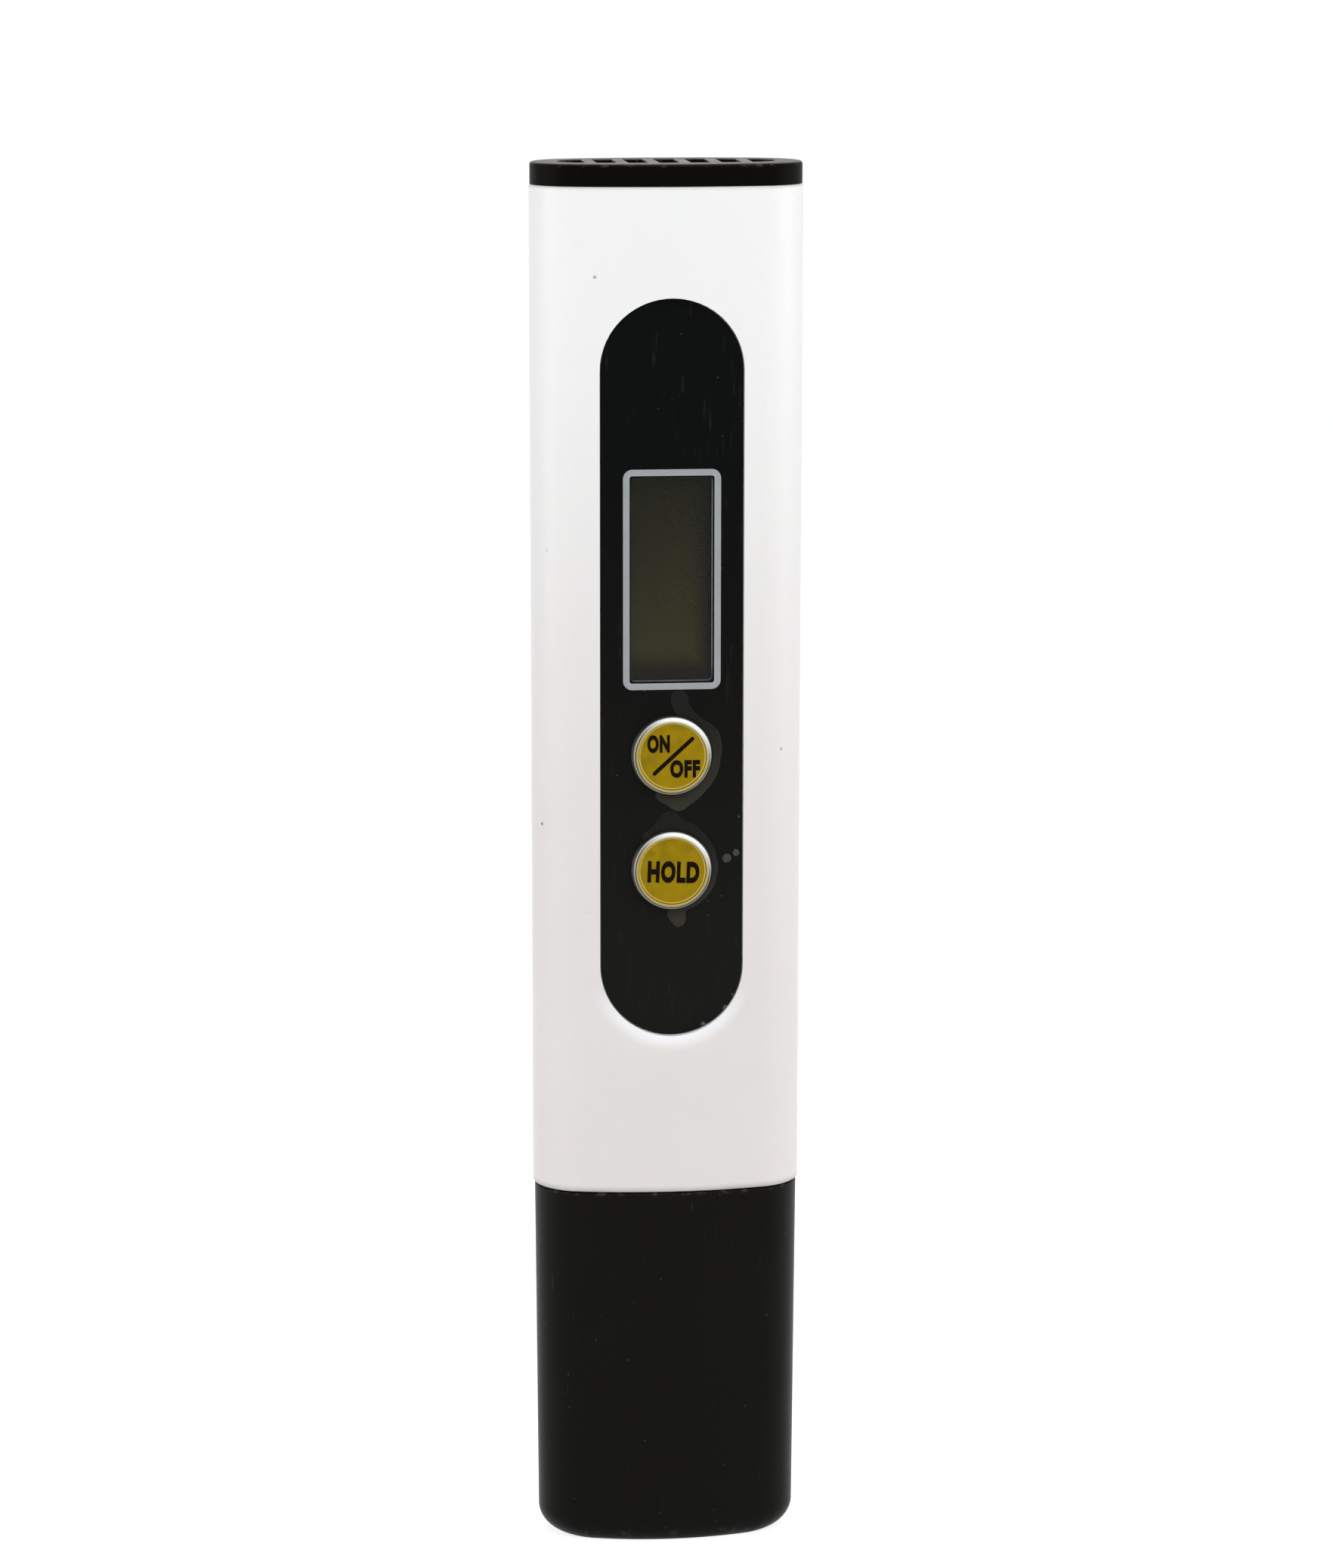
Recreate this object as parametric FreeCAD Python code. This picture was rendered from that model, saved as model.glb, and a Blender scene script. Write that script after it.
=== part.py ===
"""Pen-shaped meter for total dissolved solids, standing on its probe cap.

Sizes are in millimetres. X is the width, Y the depth and Z the height. The display faces -Y.
The origin is under the middle of the probe cap's foot.
"""
import FreeCAD, Part
import math
import os

from FreeCAD import Vector

# Button cells: two of the common 11.6 x 5.4 size, stacked front to back
cell_diameter = 11.6
cell_height = 5.4
cell_count = 2
cell_clearance = 0.15
cell_edge = 0.35
cell_cap_diameter = 9.0
cell_cap_rise = 0.35
cell_rise = 0.6
stack_play = 0.1

# Spring strips that carry the current from the cells to the board
contact_thickness = 0.2
contact_width = 3.0
contact_offset = 3.5
contact_slot_clearance = 0.05
contact_tail = 3.2
contact_headroom = 2.5

# Case: the crown is how far each wide face bulges beyond the round sides
body_width = 30.0
crown_height = 1.0
shell_wall = 1.35
housing_length = 111.1
width_draft = 0.3
depth_draft = 0.2
edge_rounding = 0.3
shoulder_thickness = 1.5

# Probe cap
probe_cap_height = 40.4
cap_reveal = 0.1
cap_step = 0.2
cap_wall = 1.3
cap_floor = 1.5
cap_width_draft = 0.7
cap_depth_draft = 0.5
foot_height = 3.0
foot_width_inset = 3.6
foot_depth_inset = 1.5
foot_edge_angle = 12.0
foot_sections = 7
cap_inner_rounding = 0.8
cap_mouth_rounding = 0.25

# Neck under the shoulder, which the probe cap slides over, and the skirt that guards the pins
neck_clearance = 0.25
neck_wall = 1.2
neck_foot_gap = 5.5
grip_band_drop = 3.0
grip_band_height = 3.0
grip_band_rise = 0.17
skirt_depth = 11.0
skirt_ledge = 0.5
skirt_notch_width = 4.0
skirt_notch_height = 6.0
skirt_rounding = 0.4

# Battery cap
battery_cap_step = 0.1
battery_cap_plate = 2.4
battery_cap_rounding = 0.35
cap_field_margin = 3.0
cap_groove_depth = 1.0
cap_rib_width = 1.2
cap_rib_pitch = 3.4
cap_pocket_gap = 0.2
leg_clearance = 0.15
leg_wall = 1.2
leg_length = 7.0
leg_inset = 0.9
snap_rise = 0.1
snap_height = 0.6
snap_drop = 5.2

# Face panel, a stadium-shaped film in a flat recess
panel_width = 15.6
panel_thickness = 0.3
panel_sink = 0.07
panel_clearance = 0.1
panel_top_gap = 1.1
panel_bottom_margin = 17.8
pad_margin = 0.7
pad_side_margin = 1.4

# Display window and the lens behind it
window_width = 9.0
window_length = 22.5
window_rounding = 0.5
display_drop = 30.6
lens_lap = 0.5
lens_clearance = 0.05
lens_boss_sink = 0.05
window_lip = 0.3

# Push buttons
button_diameter = 8.6
button_rise = 1.0
button_edge = 0.35
disc_diameter = 7.5
disc_clearance = 0.03
disc_thickness = 0.6
disc_sink = 0.2
disc_edge = 0.12
button_clearance = 0.15
flange_lap = 0.6
flange_clearance = 0.1
flange_thickness = 0.4
button_travel = 0.35
button_floor = 0.45
stem_diameter = 3.0
stem_clearance = 0.2
power_button_drop = 8.1
button_pitch = 12.75

# Tactile switches
switch_width = 6.0
switch_height = 2.4
switch_edge = 0.3
plunger_diameter = 2.8
plunger_rise = 0.5
plunger_depth = 0.5
plunger_clearance = 0.1
plunger_end_gap = 0.05

# Liquid crystal display
display_gap = 0.1
glass_thickness = 0.7
front_glass_lap = 1.7
glass_end_lap = 1.75
rear_glass_lap = 0.3
reflector_thickness = 0.2
frame_wall = 0.8
frame_clearance = 0.1
strip_thickness = 1.15
strip_height = 2.9
strip_gap = 0.15
strip_end_gap = 0.5

# Circuit board and the rails that hold it
board_width = 23.0
board_thickness = 1.0
board_bottom_gap = 7.5
board_top_gap = 0.1
rail_clearance = 0.05
rail_thickness = 0.55
rail_lap = 0.9

# Small parts on the board
blob_diameter = 12.0
blob_height = 1.3
resistor_size = (1.6, 0.5, 0.8)
capacitor_size = (2.0, 0.9, 1.25)
chip_rows = 5
chip_pitch = 3.2
chip_column = 7.0
chip_top_drop = 6.0
capacitor_rows = 3
trimmer_width = 6.4
trimmer_height = 3.2
trimmer_drop = 6.9
trimmer_screw_diameter = 3.0
trimmer_screw_length = 2.2
trimmer_screw_rise = 0.2
trimmer_clearance = 0.05
screw_slot_width = 0.5
screw_slot_depth = 0.6
access_hole_clearance = 0.15

# Cell holder
holder_wall = 1.05
holder_clearance = 0.1
holder_foot = 1.0
holder_lip_drop = 1.1

# Probe: two pins in a plug that is potted from above
pin_diameter = 2.0
pin_spacing = 10.0
pin_sink = 3.0
pin_tail = 0.5
pin_clearance = 0.02
plug_thickness = 5.0
plug_clearance = 0.05
potting_thickness = 2.5
lead_diameter = 1.0
lead_bend_radius = 3.0
lead_rise = 7.0
lead_board_lap = 2.5
sensor_diameter = 2.2
sensor_length = 3.6
sensor_depth = 2.5
sensor_clearance = 0.05
sensor_lead_diameter = 0.5
sensor_lead_offset = 0.55

# Cuts run this far past the faces that they cut through
overshoot = 1.0

# Heights
joint_z = probe_cap_height + cap_reveal
housing_top_z = joint_z + housing_length
total_height = housing_top_z + battery_cap_plate
cell_z = housing_top_z + cell_rise - cell_diameter / 2
panel_top_z = cell_z - cell_diameter / 2 - panel_top_gap
panel_bottom_z = joint_z + panel_bottom_margin
pad_top_z = panel_top_z + pad_margin
display_z = panel_top_z - display_drop
power_z = display_z - window_length / 2 - power_button_drop
hold_z = power_z - button_pitch
holder_z = pad_top_z - holder_foot + holder_clearance
board_top_z = holder_z - board_top_gap
board_bottom_z = joint_z + board_bottom_gap
trimmer_z = hold_z - trimmer_drop
neck_foot_z = cap_floor + neck_foot_gap
ledge_z = neck_foot_z + skirt_depth
plug_top_z = ledge_z + plug_thickness
potting_top_z = plug_top_z + potting_thickness
pin_tip_z = neck_foot_z + pin_sink
pin_top_z = potting_top_z + pin_tail

# Outer sizes of the case, the cells deciding how deep it is
bay_half_depth = (cell_count * cell_height + 2 * contact_thickness + stack_play) / 2
body_depth = 2 * (bay_half_depth + shell_wall)
joint_width = body_width - width_draft
joint_depth = body_depth - depth_draft
mouth_width = joint_width - 2 * cap_step
mouth_depth = joint_depth - 2 * cap_step
bay_half_width = cell_diameter / 2 + cell_clearance + holder_wall + holder_clearance


def between(low, high, share):
    return low + (high - low) * share


def case_size(z):
    """Width and depth of the white case, which narrows towards the joint."""
    share = (z - joint_z) / housing_length
    return between(joint_width, body_width, share), between(joint_depth, body_depth, share)


def cap_size(z):
    """Width and depth of the probe cap, which narrows towards its foot."""
    share = z / probe_cap_height
    width = between(mouth_width - cap_width_draft, mouth_width, share)
    depth = between(mouth_depth - cap_depth_draft, mouth_depth, share)
    return width, depth


def crown_of(width, depth):
    """Side radius, side centre, crown radius and crown centre of a section's four arcs."""
    side_radius = depth / 2 - crown_height
    side_centre = width / 2 - side_radius
    crown_radius = (side_centre**2 + depth**2 / 4 - side_radius**2) / (2 * crown_height)
    return side_radius, side_centre, crown_radius, crown_radius - depth / 2


def section(width, depth, z):
    """Wire of four tangent arcs: two crowned faces and two round sides."""
    side_radius, side_centre, crown_radius, crown_centre = crown_of(width, depth)
    reach = side_radius / (crown_radius - side_radius)
    meet_x = side_centre * (1 + reach)
    meet_y = crown_centre * reach
    corners = [Vector(x * meet_x, y * meet_y, z) for x, y in ((-1, -1), (1, -1), (1, 1), (-1, 1))]
    middles = [Vector(0, -depth / 2, z), Vector(width / 2, 0, z),
               Vector(0, depth / 2, z), Vector(-width / 2, 0, z)]
    arcs = [Part.Arc(corners[i], middles[i], corners[(i + 1) % 4]).toShape() for i in range(4)]
    return Part.Wire(arcs)


def tapered(size_at, low_z, high_z, inset=0.0):
    """Solid between two heights of the case or the probe cap, offset inwards by the inset."""
    wires = []
    for z in (low_z, high_z):
        width, depth = size_at(z)
        wires.append(section(width - 2 * inset, depth - 2 * inset, z))
    return Part.makeLoft(wires, True, True)


def face_y(x, z):
    """Depth of the case's crowned front at a place across it."""
    crown_radius, crown_centre = crown_of(*case_size(z))[2:]
    return crown_centre - math.sqrt(crown_radius**2 - x**2)


def block(x_range, y_range, z_range):
    low = Vector(x_range[0], y_range[0], z_range[0])
    return Part.makeBox(x_range[1] - x_range[0], y_range[1] - y_range[0],
                        z_range[1] - z_range[0], low)


def across(half):
    return -half, half


def around(centre, length):
    return centre - length / 2, centre + length / 2


def round_along_y(diameter, y_range, x, z):
    """Cylinder from front to back, for buttons, holes and cells."""
    return Part.makeCylinder(diameter / 2, y_range[1] - y_range[0],
                             Vector(x, y_range[0], z), Vector(0, 1, 0))


def upright(diameter, z_range, x, y=0.0):
    return Part.makeCylinder(diameter / 2, z_range[1] - z_range[0], Vector(x, y, z_range[0]))


def rounded_plate(width, length, rounding, y_range, z):
    """Plate across the front with rounded corners, standing upright."""
    plate = block(across(width / 2), y_range, around(z, length))
    corners = [edge for edge in plate.Edges
               if abs(edge.Vertexes[0].Point.x - edge.Vertexes[1].Point.x) < 1e-6
               and abs(edge.Vertexes[0].Point.z - edge.Vertexes[1].Point.z) < 1e-6]
    return plate.makeFillet(rounding, corners)


def stadium(width, low_z, high_z, y_range):
    """Upright plate with half-round ends."""
    radius = width / 2
    middle = block(across(radius), y_range, (low_z + radius, high_z - radius))
    ends = [round_along_y(width, y_range, 0, z) for z in (low_z + radius, high_z - radius)]
    return middle.fuse(ends).removeSplitter()


def edges_at(shape, z, reach=1e-4):
    """Edges that lie wholly at one height."""
    return [edge for edge in shape.Edges
            if abs(edge.BoundBox.ZMin - z) < reach and abs(edge.BoundBox.ZMax - z) < reach]


def edges_facing(shape, y, reach=1e-4):
    """Edges that lie wholly at one depth."""
    return [edge for edge in shape.Edges
            if abs(edge.BoundBox.YMin - y) < reach and abs(edge.BoundBox.YMax - y) < reach]


# Depths, from the front of the panel to the back of the board
panel_front_y = face_y(panel_width / 2, panel_bottom_z) + panel_sink
panel_back_y = panel_front_y + panel_thickness
pad_thickness = flange_thickness + button_travel + button_floor
pad_inner_y = panel_back_y + pad_thickness
button_floor_y = pad_inner_y - button_floor
glass_front_y = pad_inner_y + display_gap
front_glass_back_y = glass_front_y + glass_thickness
rear_glass_back_y = front_glass_back_y + glass_thickness
board_front_y = front_glass_back_y + strip_height
board_back_y = board_front_y + board_thickness
switch_front_y = board_front_y - switch_height
plunger_front_y = switch_front_y - plunger_rise
button_front_y = panel_front_y - button_rise
past_front_y = -body_depth
past_back_y = body_depth

# Widths that more than one piece shares
front_glass_width = window_width + 2 * front_glass_lap
rear_glass_width = window_width + 2 * rear_glass_lap
glass_length = window_length + 2 * glass_end_lap
flange_diameter = button_diameter + 2 * flange_lap
leg_inner_x = bay_half_width + leg_inset
neck_inset = cap_wall + neck_clearance
buttons = {"power": power_z, "hold": hold_z}


def make_housing():
    """One moulding: crowned case, flat panel recess, neck and the skirt that guards the pins."""
    case = tapered(case_size, joint_z, housing_top_z)
    case = case.makeFillet(edge_rounding, edges_at(case, joint_z) + edges_at(case, housing_top_z))
    neck = tapered(cap_size, neck_foot_z, joint_z + edge_rounding, neck_inset)
    neck = neck.makeFillet(skirt_rounding, edges_at(neck, neck_foot_z))
    band_top_z = joint_z - grip_band_drop
    band = tapered(cap_size, band_top_z - grip_band_height, band_top_z, neck_inset - grip_band_rise)
    cavity = case_cavity()
    neck_bore = tapered(cap_size, ledge_z, joint_z + shoulder_thickness + overshoot,
                        neck_inset + neck_wall)
    skirt_bore = tapered(cap_size, neck_foot_z - overshoot, ledge_z + overshoot,
                         neck_inset + neck_wall + skirt_ledge)
    solid = case.fuse([neck, band]).cut([cavity, neck_bore, skirt_bore])
    solid = solid.cut([panel_recess(), window_opening(), access_hole()] + skirt_notches())
    solid = solid.cut([hole for z in buttons.values() for hole in button_holes(z)])
    return solid.fuse(board_rails()).removeSplitter()


def case_cavity():
    """Inside of the case, with the thick pad behind the panel left standing."""
    low_z = joint_z + shoulder_thickness
    cavity = tapered(case_size, low_z, housing_top_z + overshoot, shell_wall)
    pad = block(across(panel_width / 2 + pad_side_margin), (past_front_y, pad_inner_y),
                (panel_bottom_z - pad_margin, pad_top_z))
    bay = block(across(bay_half_width), across(bay_half_depth),
                (pad_top_z, housing_top_z + overshoot))
    return cavity.cut(pad).fuse(bay)


def panel_recess():
    grow = panel_clearance
    return stadium(panel_width + 2 * grow, panel_bottom_z - grow, panel_top_z + grow,
                   (past_front_y, panel_back_y))


def window_opening():
    """Stepped opening: the lens lies on the lip that stands in from the display's edge."""
    seat = rounded_plate(window_width + 2 * lens_lap, window_length + 2 * lens_lap,
                         window_rounding + lens_lap, (past_front_y, pad_inner_y - window_lip),
                         display_z)
    opening = rounded_plate(window_width, window_length, window_rounding,
                            (past_front_y, pad_inner_y + overshoot), display_z)
    return seat.fuse(opening)


def button_holes(z):
    pocket = round_along_y(flange_diameter + 2 * flange_clearance,
                           (past_front_y, button_floor_y), 0, z)
    stem_hole = round_along_y(stem_diameter + 2 * stem_clearance,
                              (past_front_y, pad_inner_y + overshoot), 0, z)
    return [pocket, stem_hole]


def access_hole():
    """Hole in the back through which a screwdriver reaches the trimmer."""
    return round_along_y(trimmer_screw_diameter + 2 * access_hole_clearance,
                         (board_back_y + trimmer_height, past_back_y), 0, trimmer_z)


def skirt_notches():
    """Notches in the skirt's narrow sides, which let the water run off the pins."""
    notch = block(across(body_width), across(skirt_notch_width / 2),
                  (neck_foot_z - overshoot, neck_foot_z + skirt_notch_height))
    top = [edge for edge in edges_at(notch, neck_foot_z + skirt_notch_height)
           if edge.BoundBox.XLength > body_width]
    return [notch.makeFillet(skirt_notch_width / 4, top)]


def board_rails():
    """Two grooved rails; the board stands on their closed lower ends, the holder on their tops."""
    rail_x = board_width / 2 - rail_lap
    outer = rail_thickness + rail_clearance
    low_z = joint_z + shoulder_thickness - overshoot
    blank = tapered(case_size, low_z, holder_z, shell_wall / 2)
    groove = block(across(board_width / 2 + rail_clearance),
                   (board_front_y - rail_clearance, board_back_y + rail_clearance),
                   (board_bottom_z, holder_z + overshoot))
    rails = []
    for side in (-1, 1):
        x_range = sorted((side * rail_x, side * body_width))
        strip = block(x_range, (board_front_y - outer, board_back_y + outer), (low_z, holder_z))
        rails.append(strip.common(blank).cut(groove))
    return rails


def make_face_panel():
    panel = stadium(panel_width, panel_bottom_z, panel_top_z, (panel_front_y, panel_back_y))
    depth = (panel_front_y - overshoot, panel_back_y + overshoot)
    holes = [rounded_plate(window_width, window_length, window_rounding, depth, display_z)]
    for z in buttons.values():
        holes.append(round_along_y(button_diameter + 2 * button_clearance, depth, 0, z))
    return panel.cut(holes)


def make_display_window():
    """Clear lens: its flange lies on the housing's lip, its boss fills the panel's window."""
    back_y = pad_inner_y - window_lip
    trim = 2 * (lens_lap - lens_clearance)
    flange = rounded_plate(window_width + trim, window_length + trim,
                           window_rounding + trim / 2, (panel_back_y, back_y), display_z)
    boss = rounded_plate(window_width - 2 * lens_clearance, window_length - 2 * lens_clearance,
                         window_rounding - lens_clearance,
                         (panel_front_y + lens_boss_sink, panel_back_y + lens_clearance), display_z)
    return flange.fuse(boss).removeSplitter()


def make_button(z):
    """Cup with a flange that the panel keeps in, and a stem that reaches the switch."""
    body = round_along_y(button_diameter, (button_front_y, panel_back_y), 0, z)
    body = body.makeFillet(button_edge, edges_facing(body, button_front_y))
    flange = round_along_y(flange_diameter, (panel_back_y, panel_back_y + flange_thickness), 0, z)
    stem = round_along_y(stem_diameter, (panel_back_y, plunger_front_y), 0, z)
    seat = round_along_y(disc_diameter, (button_front_y - overshoot,
                                         button_front_y + disc_sink + disc_thickness), 0, z)
    return body.fuse([flange, stem]).removeSplitter().cut(seat)


def make_button_disc(z):
    front_y = button_front_y + disc_sink
    disc = round_along_y(disc_diameter - 2 * disc_clearance, (front_y, front_y + disc_thickness), 0, z)
    return disc.makeFillet(disc_edge, edges_facing(disc, front_y))


def make_switch(z):
    """Square switch case with the bore that its plunger slides in."""
    case = block(across(switch_width / 2), (switch_front_y, board_front_y), around(z, switch_width))
    case = case.makeFillet(switch_edge, [edge for edge in case.Edges
                                         if abs(edge.BoundBox.YLength - switch_height) < 1e-3])
    bore_depth = plunger_depth + button_travel + plunger_end_gap
    bore = round_along_y(plunger_diameter + 2 * plunger_clearance,
                         (switch_front_y - overshoot, switch_front_y + bore_depth), 0, z)
    return case.cut(bore)


def make_plunger(z):
    return round_along_y(plunger_diameter, (plunger_front_y, switch_front_y + plunger_depth), 0, z)


def make_probe_cap():
    """Deep cup whose foot is rounded outside and inside."""
    outer = tapered(cap_size, foot_height, probe_cap_height).fuse(cap_foot()).removeSplitter()
    outer = outer.makeFillet(cap_mouth_rounding, edges_at(outer, probe_cap_height))
    inner = tapered(cap_size, cap_floor, probe_cap_height + overshoot, cap_wall)
    inner = inner.makeFillet(cap_inner_rounding, edges_at(inner, cap_floor))
    return outer.cut(inner)


def cap_foot():
    """Foot that curves in along an ellipse, further at its narrow sides than at its faces."""
    first = math.radians(foot_edge_angle)
    wires = []
    for number in range(foot_sections):
        turn = between(first, math.pi / 2, number / (foot_sections - 1))
        z = foot_height * (1 - math.cos(turn) / math.cos(first))
        share = 1 - math.sin(turn)
        width, depth = cap_size(z)
        wires.append(section(width - 2 * foot_width_inset * share,
                             depth - 2 * foot_depth_inset * share, z))
    return Part.makeLoft(wires, True, False)


def make_battery_cap():
    """Plate with finger grooves between ribs, a pocket over the cells and two sprung legs."""
    width, depth = case_size(housing_top_z)
    plate_size = (width - 2 * battery_cap_step, depth - 2 * battery_cap_step)
    plate = Part.Face(section(*plate_size, housing_top_z)).extrude(Vector(0, 0, battery_cap_plate))
    plate = plate.makeFillet(battery_cap_rounding, edges_at(plate, total_height))
    plate = plate.cut(grip_grooves(*plate_size))
    pocket = block(across(cell_diameter / 2 + cap_pocket_gap), across(bay_half_depth),
                   (housing_top_z - overshoot, housing_top_z + cell_rise + cap_pocket_gap))
    return plate.fuse(cap_legs()).removeSplitter().cut(pocket)


def grip_grooves(width, depth):
    """The grooved field, split into slots by ribs that run front to back."""
    floor_z = total_height - cap_groove_depth
    margin = 2 * cap_field_margin
    field = Part.Face(section(width - margin, depth - margin, floor_z))
    field = field.extrude(Vector(0, 0, cap_groove_depth + overshoot))
    rib_count = 2 * int((width - margin) / 2 / cap_rib_pitch)
    ribs = []
    for number in range(rib_count):
        centre = (number - (rib_count - 1) / 2) * cap_rib_pitch
        ribs.append(block(around(centre, cap_rib_width), across(depth),
                          (floor_z - overshoot, total_height + 2 * overshoot)))
    return field.cut(ribs)


def cap_legs():
    low_z = housing_top_z - leg_length
    top_z = housing_top_z + (battery_cap_plate - cap_groove_depth) / 2
    outer_inset = shell_wall + leg_clearance
    wall = tapered(case_size, low_z, top_z, outer_inset)
    snap_z = housing_top_z - snap_drop
    snap = tapered(case_size, snap_z, snap_z + snap_height, outer_inset - snap_rise)
    hollow = tapered(case_size, low_z - overshoot, top_z + overshoot, outer_inset + leg_wall)
    ring = wall.fuse(snap).cut(hollow)
    legs = []
    for side in (-1, 1):
        x_range = sorted((side * leg_inner_x, side * body_width))
        legs.append(ring.common(block(x_range, across(body_depth), (low_z, top_z))))
    return legs


def make_cell(back_y):
    """Button cell: the can, and the smaller cap that faces the front."""
    can = round_along_y(cell_diameter, (back_y - cell_height + cell_cap_rise, back_y), 0, cell_z)
    can = can.makeFillet(cell_edge, can.Edges)
    cap = round_along_y(cell_cap_diameter, (back_y - cell_height, back_y - cell_edge), 0, cell_z)
    return can.fuse(cap).removeSplitter()


def make_battery_holder():
    """Cradle for the cells, whose wide foot stands on the board rails."""
    wall_x = bay_half_width - holder_clearance
    depth = bay_half_depth - holder_clearance
    top_z = housing_top_z - holder_lip_drop
    cradle = block(across(wall_x), across(depth), (pad_top_z + holder_clearance, top_z))
    foot = tapered(case_size, holder_z, pad_top_z + holder_clearance, shell_wall + holder_clearance)
    foot = foot.common(block(across(body_width), (pad_inner_y + holder_clearance, depth),
                             (holder_z, pad_top_z + holder_clearance)))
    bore_diameter = cell_diameter + 2 * cell_clearance
    bore = round_along_y(bore_diameter, across(body_depth), 0, cell_z)
    mouth = block(across(bore_diameter / 2), across(body_depth), (cell_z, top_z + overshoot))
    holder = cradle.fuse(foot).removeSplitter().cut([bore, mouth])
    return holder.cut(contact_slots(-1) + contact_slots(1))


def contact_level():
    """Height at which the strips pass under the cells."""
    return pad_top_z + holder_clearance + contact_slot_clearance


def contact_runs(side):
    """The three straight runs of a strip: up a cell's face, under the cells, down to the board."""
    level = contact_level()
    face = sorted((side * (bay_half_depth - stack_play / 2),
                   side * (bay_half_depth - stack_play / 2 - contact_thickness)))
    board_y = board_front_y if side < 0 else board_back_y
    tail = sorted((board_y, board_y + side * contact_thickness))
    under = (min(face + tail), max(face + tail))
    return [(face, (level, housing_top_z - contact_headroom)),
            (under, (level, level + contact_thickness)),
            (tail, (board_top_z - contact_tail, level + contact_thickness))]


def make_battery_contact(side):
    width = around(side * -contact_offset, contact_width)
    runs = [block(width, y_range, z_range) for y_range, z_range in contact_runs(side)]
    return runs[0].fuse(runs[1:]).removeSplitter()


def contact_slots(side):
    """Room for a strip in the holder."""
    gap = contact_slot_clearance
    width = around(side * -contact_offset, contact_width + 2 * gap)
    slots = []
    for y_range, z_range in contact_runs(side):
        slots.append(block(width, (y_range[0] - gap, y_range[1] + gap),
                           (z_range[0] - gap, z_range[1] + gap)))
    return slots


def make_circuit_board():
    return block(across(board_width / 2), (board_front_y, board_back_y),
                 (board_bottom_z, board_top_z))


def make_glass(width, front_y, thickness):
    return block(across(width / 2), (front_y, front_y + thickness), around(display_z, glass_length))


def make_lcd_frame():
    """Open frame that stands on the board round the glass and the contact strips."""
    inner_width = front_glass_width + 2 * frame_clearance
    inner_length = glass_length + 2 * frame_clearance
    outer = rounded_plate(inner_width + 2 * frame_wall, inner_length + 2 * frame_wall, frame_wall,
                          (glass_front_y, board_front_y), display_z)
    return outer.cut(block(across(inner_width / 2),
                           (glass_front_y - overshoot, board_front_y + overshoot),
                           around(display_z, inner_length)))


def make_zebra_strip(side):
    inner_x = rear_glass_width / 2 + strip_gap
    x_range = sorted((side * inner_x, side * (inner_x + strip_thickness)))
    return block(x_range, (front_glass_back_y, board_front_y),
                 around(display_z, glass_length - 2 * strip_end_gap))


def make_chip_blob():
    """Low dome of resin over the chip, on the back of the board behind the display."""
    radius = (blob_diameter**2 / 4 + blob_height**2) / (2 * blob_height)
    ball = Part.makeSphere(radius, Vector(0, board_back_y - radius + blob_height, display_z))
    return ball.common(block(across(blob_diameter), (board_back_y, past_back_y),
                             around(display_z, 2 * blob_diameter)))


def make_chips(size, rows, side, top_z):
    """A column of small chips on the back of the board."""
    width, height, length = size
    return [block(around(side * chip_column, width), (board_back_y, board_back_y + height),
                  around(top_z - row * chip_pitch, length)) for row in range(rows)]


def make_trimmer_body():
    body = block(across(trimmer_width / 2), (board_back_y, board_back_y + trimmer_height),
                 around(trimmer_z, trimmer_width))
    bore = round_along_y(trimmer_screw_diameter + 2 * trimmer_clearance,
                         (board_back_y + trimmer_height + trimmer_screw_rise - trimmer_screw_length,
                          board_back_y + trimmer_height + overshoot), 0, trimmer_z)
    return body.cut(bore)


def make_trimmer_screw():
    """Slotted disc that a screwdriver turns."""
    back_y = board_back_y + trimmer_height + trimmer_screw_rise
    screw = round_along_y(trimmer_screw_diameter, (back_y - trimmer_screw_length, back_y),
                          0, trimmer_z)
    slot = block(across(screw_slot_width / 2), (back_y - screw_slot_depth, back_y + overshoot),
                 around(trimmer_z, 2 * trimmer_screw_diameter))
    return screw.cut(slot)


def make_electrode_plug():
    plug = tapered(cap_size, ledge_z, plug_top_z, neck_inset + neck_wall + plug_clearance)
    bores = [upright(pin_diameter + 2 * pin_clearance, (ledge_z - overshoot, plug_top_z + overshoot),
                     side * pin_spacing / 2) for side in (-1, 1)]
    pocket = upright(sensor_diameter + 2 * sensor_clearance,
                     (plug_top_z - sensor_depth, plug_top_z + overshoot), 0)
    return plug.cut(bores + [pocket])


def make_potting_seal():
    seal = tapered(cap_size, plug_top_z, potting_top_z, neck_inset + neck_wall + plug_clearance)
    bores = [upright(pin_diameter + 2 * pin_clearance,
                     (plug_top_z - overshoot, potting_top_z + overshoot),
                     side * pin_spacing / 2) for side in (-1, 1)]
    pocket = upright(sensor_diameter + 2 * sensor_clearance,
                     (plug_top_z - overshoot, potting_top_z + overshoot), 0)
    return seal.cut(bores + [pocket])


def make_electrode(side):
    """Pin with a rounded tip that hangs in the skirt."""
    pin = upright(pin_diameter, (pin_tip_z, pin_top_z), side * pin_spacing / 2)
    return pin.makeFillet(pin_diameter / 4, edges_at(pin, pin_tip_z))


def make_temperature_sensor():
    """Bead in the plug's blind pocket, between the pins."""
    low_z = plug_top_z - sensor_depth + sensor_clearance
    bead = upright(sensor_diameter, (low_z, low_z + sensor_length), 0)
    return bead.makeFillet(sensor_diameter / 4, edges_at(bead, low_z))


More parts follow.
